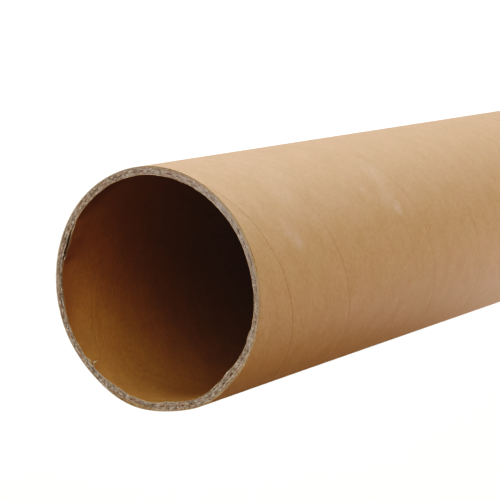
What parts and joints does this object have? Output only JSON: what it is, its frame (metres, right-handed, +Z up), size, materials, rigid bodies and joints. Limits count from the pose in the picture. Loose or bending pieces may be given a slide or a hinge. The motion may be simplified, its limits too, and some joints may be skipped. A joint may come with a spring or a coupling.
{
  "type": "cardboard mailing tube",
  "caption": "Spiral-wound kraft paperboard mailing tube, open at both ends, with helical seams on its outer and inner faces and square-cut rims.",
  "frame": {"origin": "centre of the lower end, on the surface that the tube stands on", "axes": "+Z up the tube's axis to the mouth that the picture shows; +X and +Y across it, with the loose place of the inner liner at 66 degrees from +X towards +Y"},
  "size_m": [0.081, 0.081, 0.61],
  "materials": {
    "kraft": "matt brown kraft paper over grey-brown board"
  },
  "bodies": {
    "root": {"tube": "kraft"}
  },
  "joints": []
}
